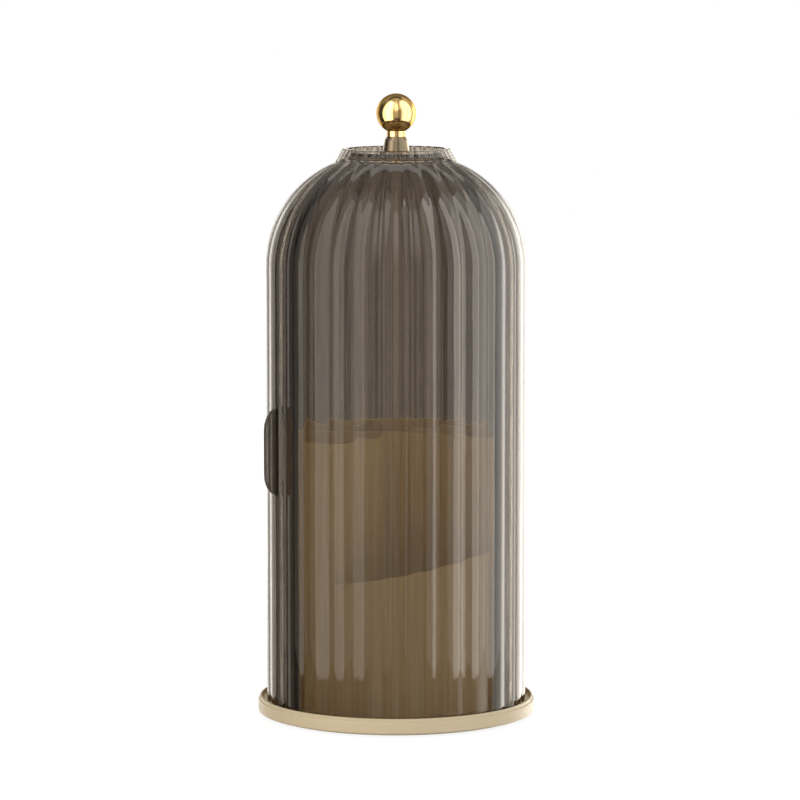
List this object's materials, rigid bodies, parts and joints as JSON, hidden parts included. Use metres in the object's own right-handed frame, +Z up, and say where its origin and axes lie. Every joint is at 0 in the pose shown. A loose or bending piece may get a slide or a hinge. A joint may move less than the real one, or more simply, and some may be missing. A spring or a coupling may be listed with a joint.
{
  "type": "makeup brush holder",
  "caption": "Upright brush holder: turntable base, divided cup and reeded smoked dome with a ball knob, whose front door slides round the outside.",
  "frame": {"origin": "centre of the resting face under the foot pads, on the turning axis", "axes": "+Z up along the turning axis, front with the door towards -Y, +X to the viewer's right"},
  "size_m": [0.138, 0.138, 0.31],
  "materials": {
    "smoked_plastic": "clear smoked moulding with polished reeds",
    "cream_plastic": "satin moulded cream plastic",
    "gold_plate": "polished gold plate",
    "champagne_metal": "satin champagne anodised",
    "steel": "zinc plated",
    "cage_nylon": "natural nylon",
    "pad_rubber": "matte non-slip rubber"
  },
  "bodies": {
    "foot": {"foot_disc": "cream_plastic", "rubber_pad_1": "pad_rubber", "rubber_pad_2": "pad_rubber", "rubber_pad_3": "pad_rubber", "rubber_pad_4": "pad_rubber", "lower_race": "steel", "pivot_washer": "steel", "pivot_screw": "steel"},
    "bearing_cage": {"ball_cage": "cage_nylon", "bearing_balls": "steel"},
    "turntable": {"turntable_tray": "cream_plastic", "upper_race": "steel", "brush_cup": "cream_plastic", "cup_screws": "steel", "rear_shell": "smoked_plastic", "knob_base": "champagne_metal", "knob_ball": "gold_plate", "knob_washer": "steel", "knob_screw": "steel"},
    "door": {"door_shell": "smoked_plastic"}
  },
  "joints": [
    {"name": "turntable_spin", "type": "hinge", "parent": "foot", "child": "turntable", "pos_m": [0, 0, 0.0047], "axis": [0, 0, 1], "continuous": true},
    {"name": "cage_roll", "type": "hinge", "parent": "foot", "child": "bearing_cage", "pos_m": [0, 0, 0.0047], "axis": [0, 0, 1], "continuous": true},
    {"name": "door_slide", "type": "hinge", "parent": "turntable", "child": "door", "pos_m": [0, 0, 0.00735], "axis": [0, 0, 1], "range_deg": [0, 180]}
  ],
  "couplings": [
    {"joint": "cage_roll", "follows": "turntable_spin", "ratio": 0.5}
  ]
}
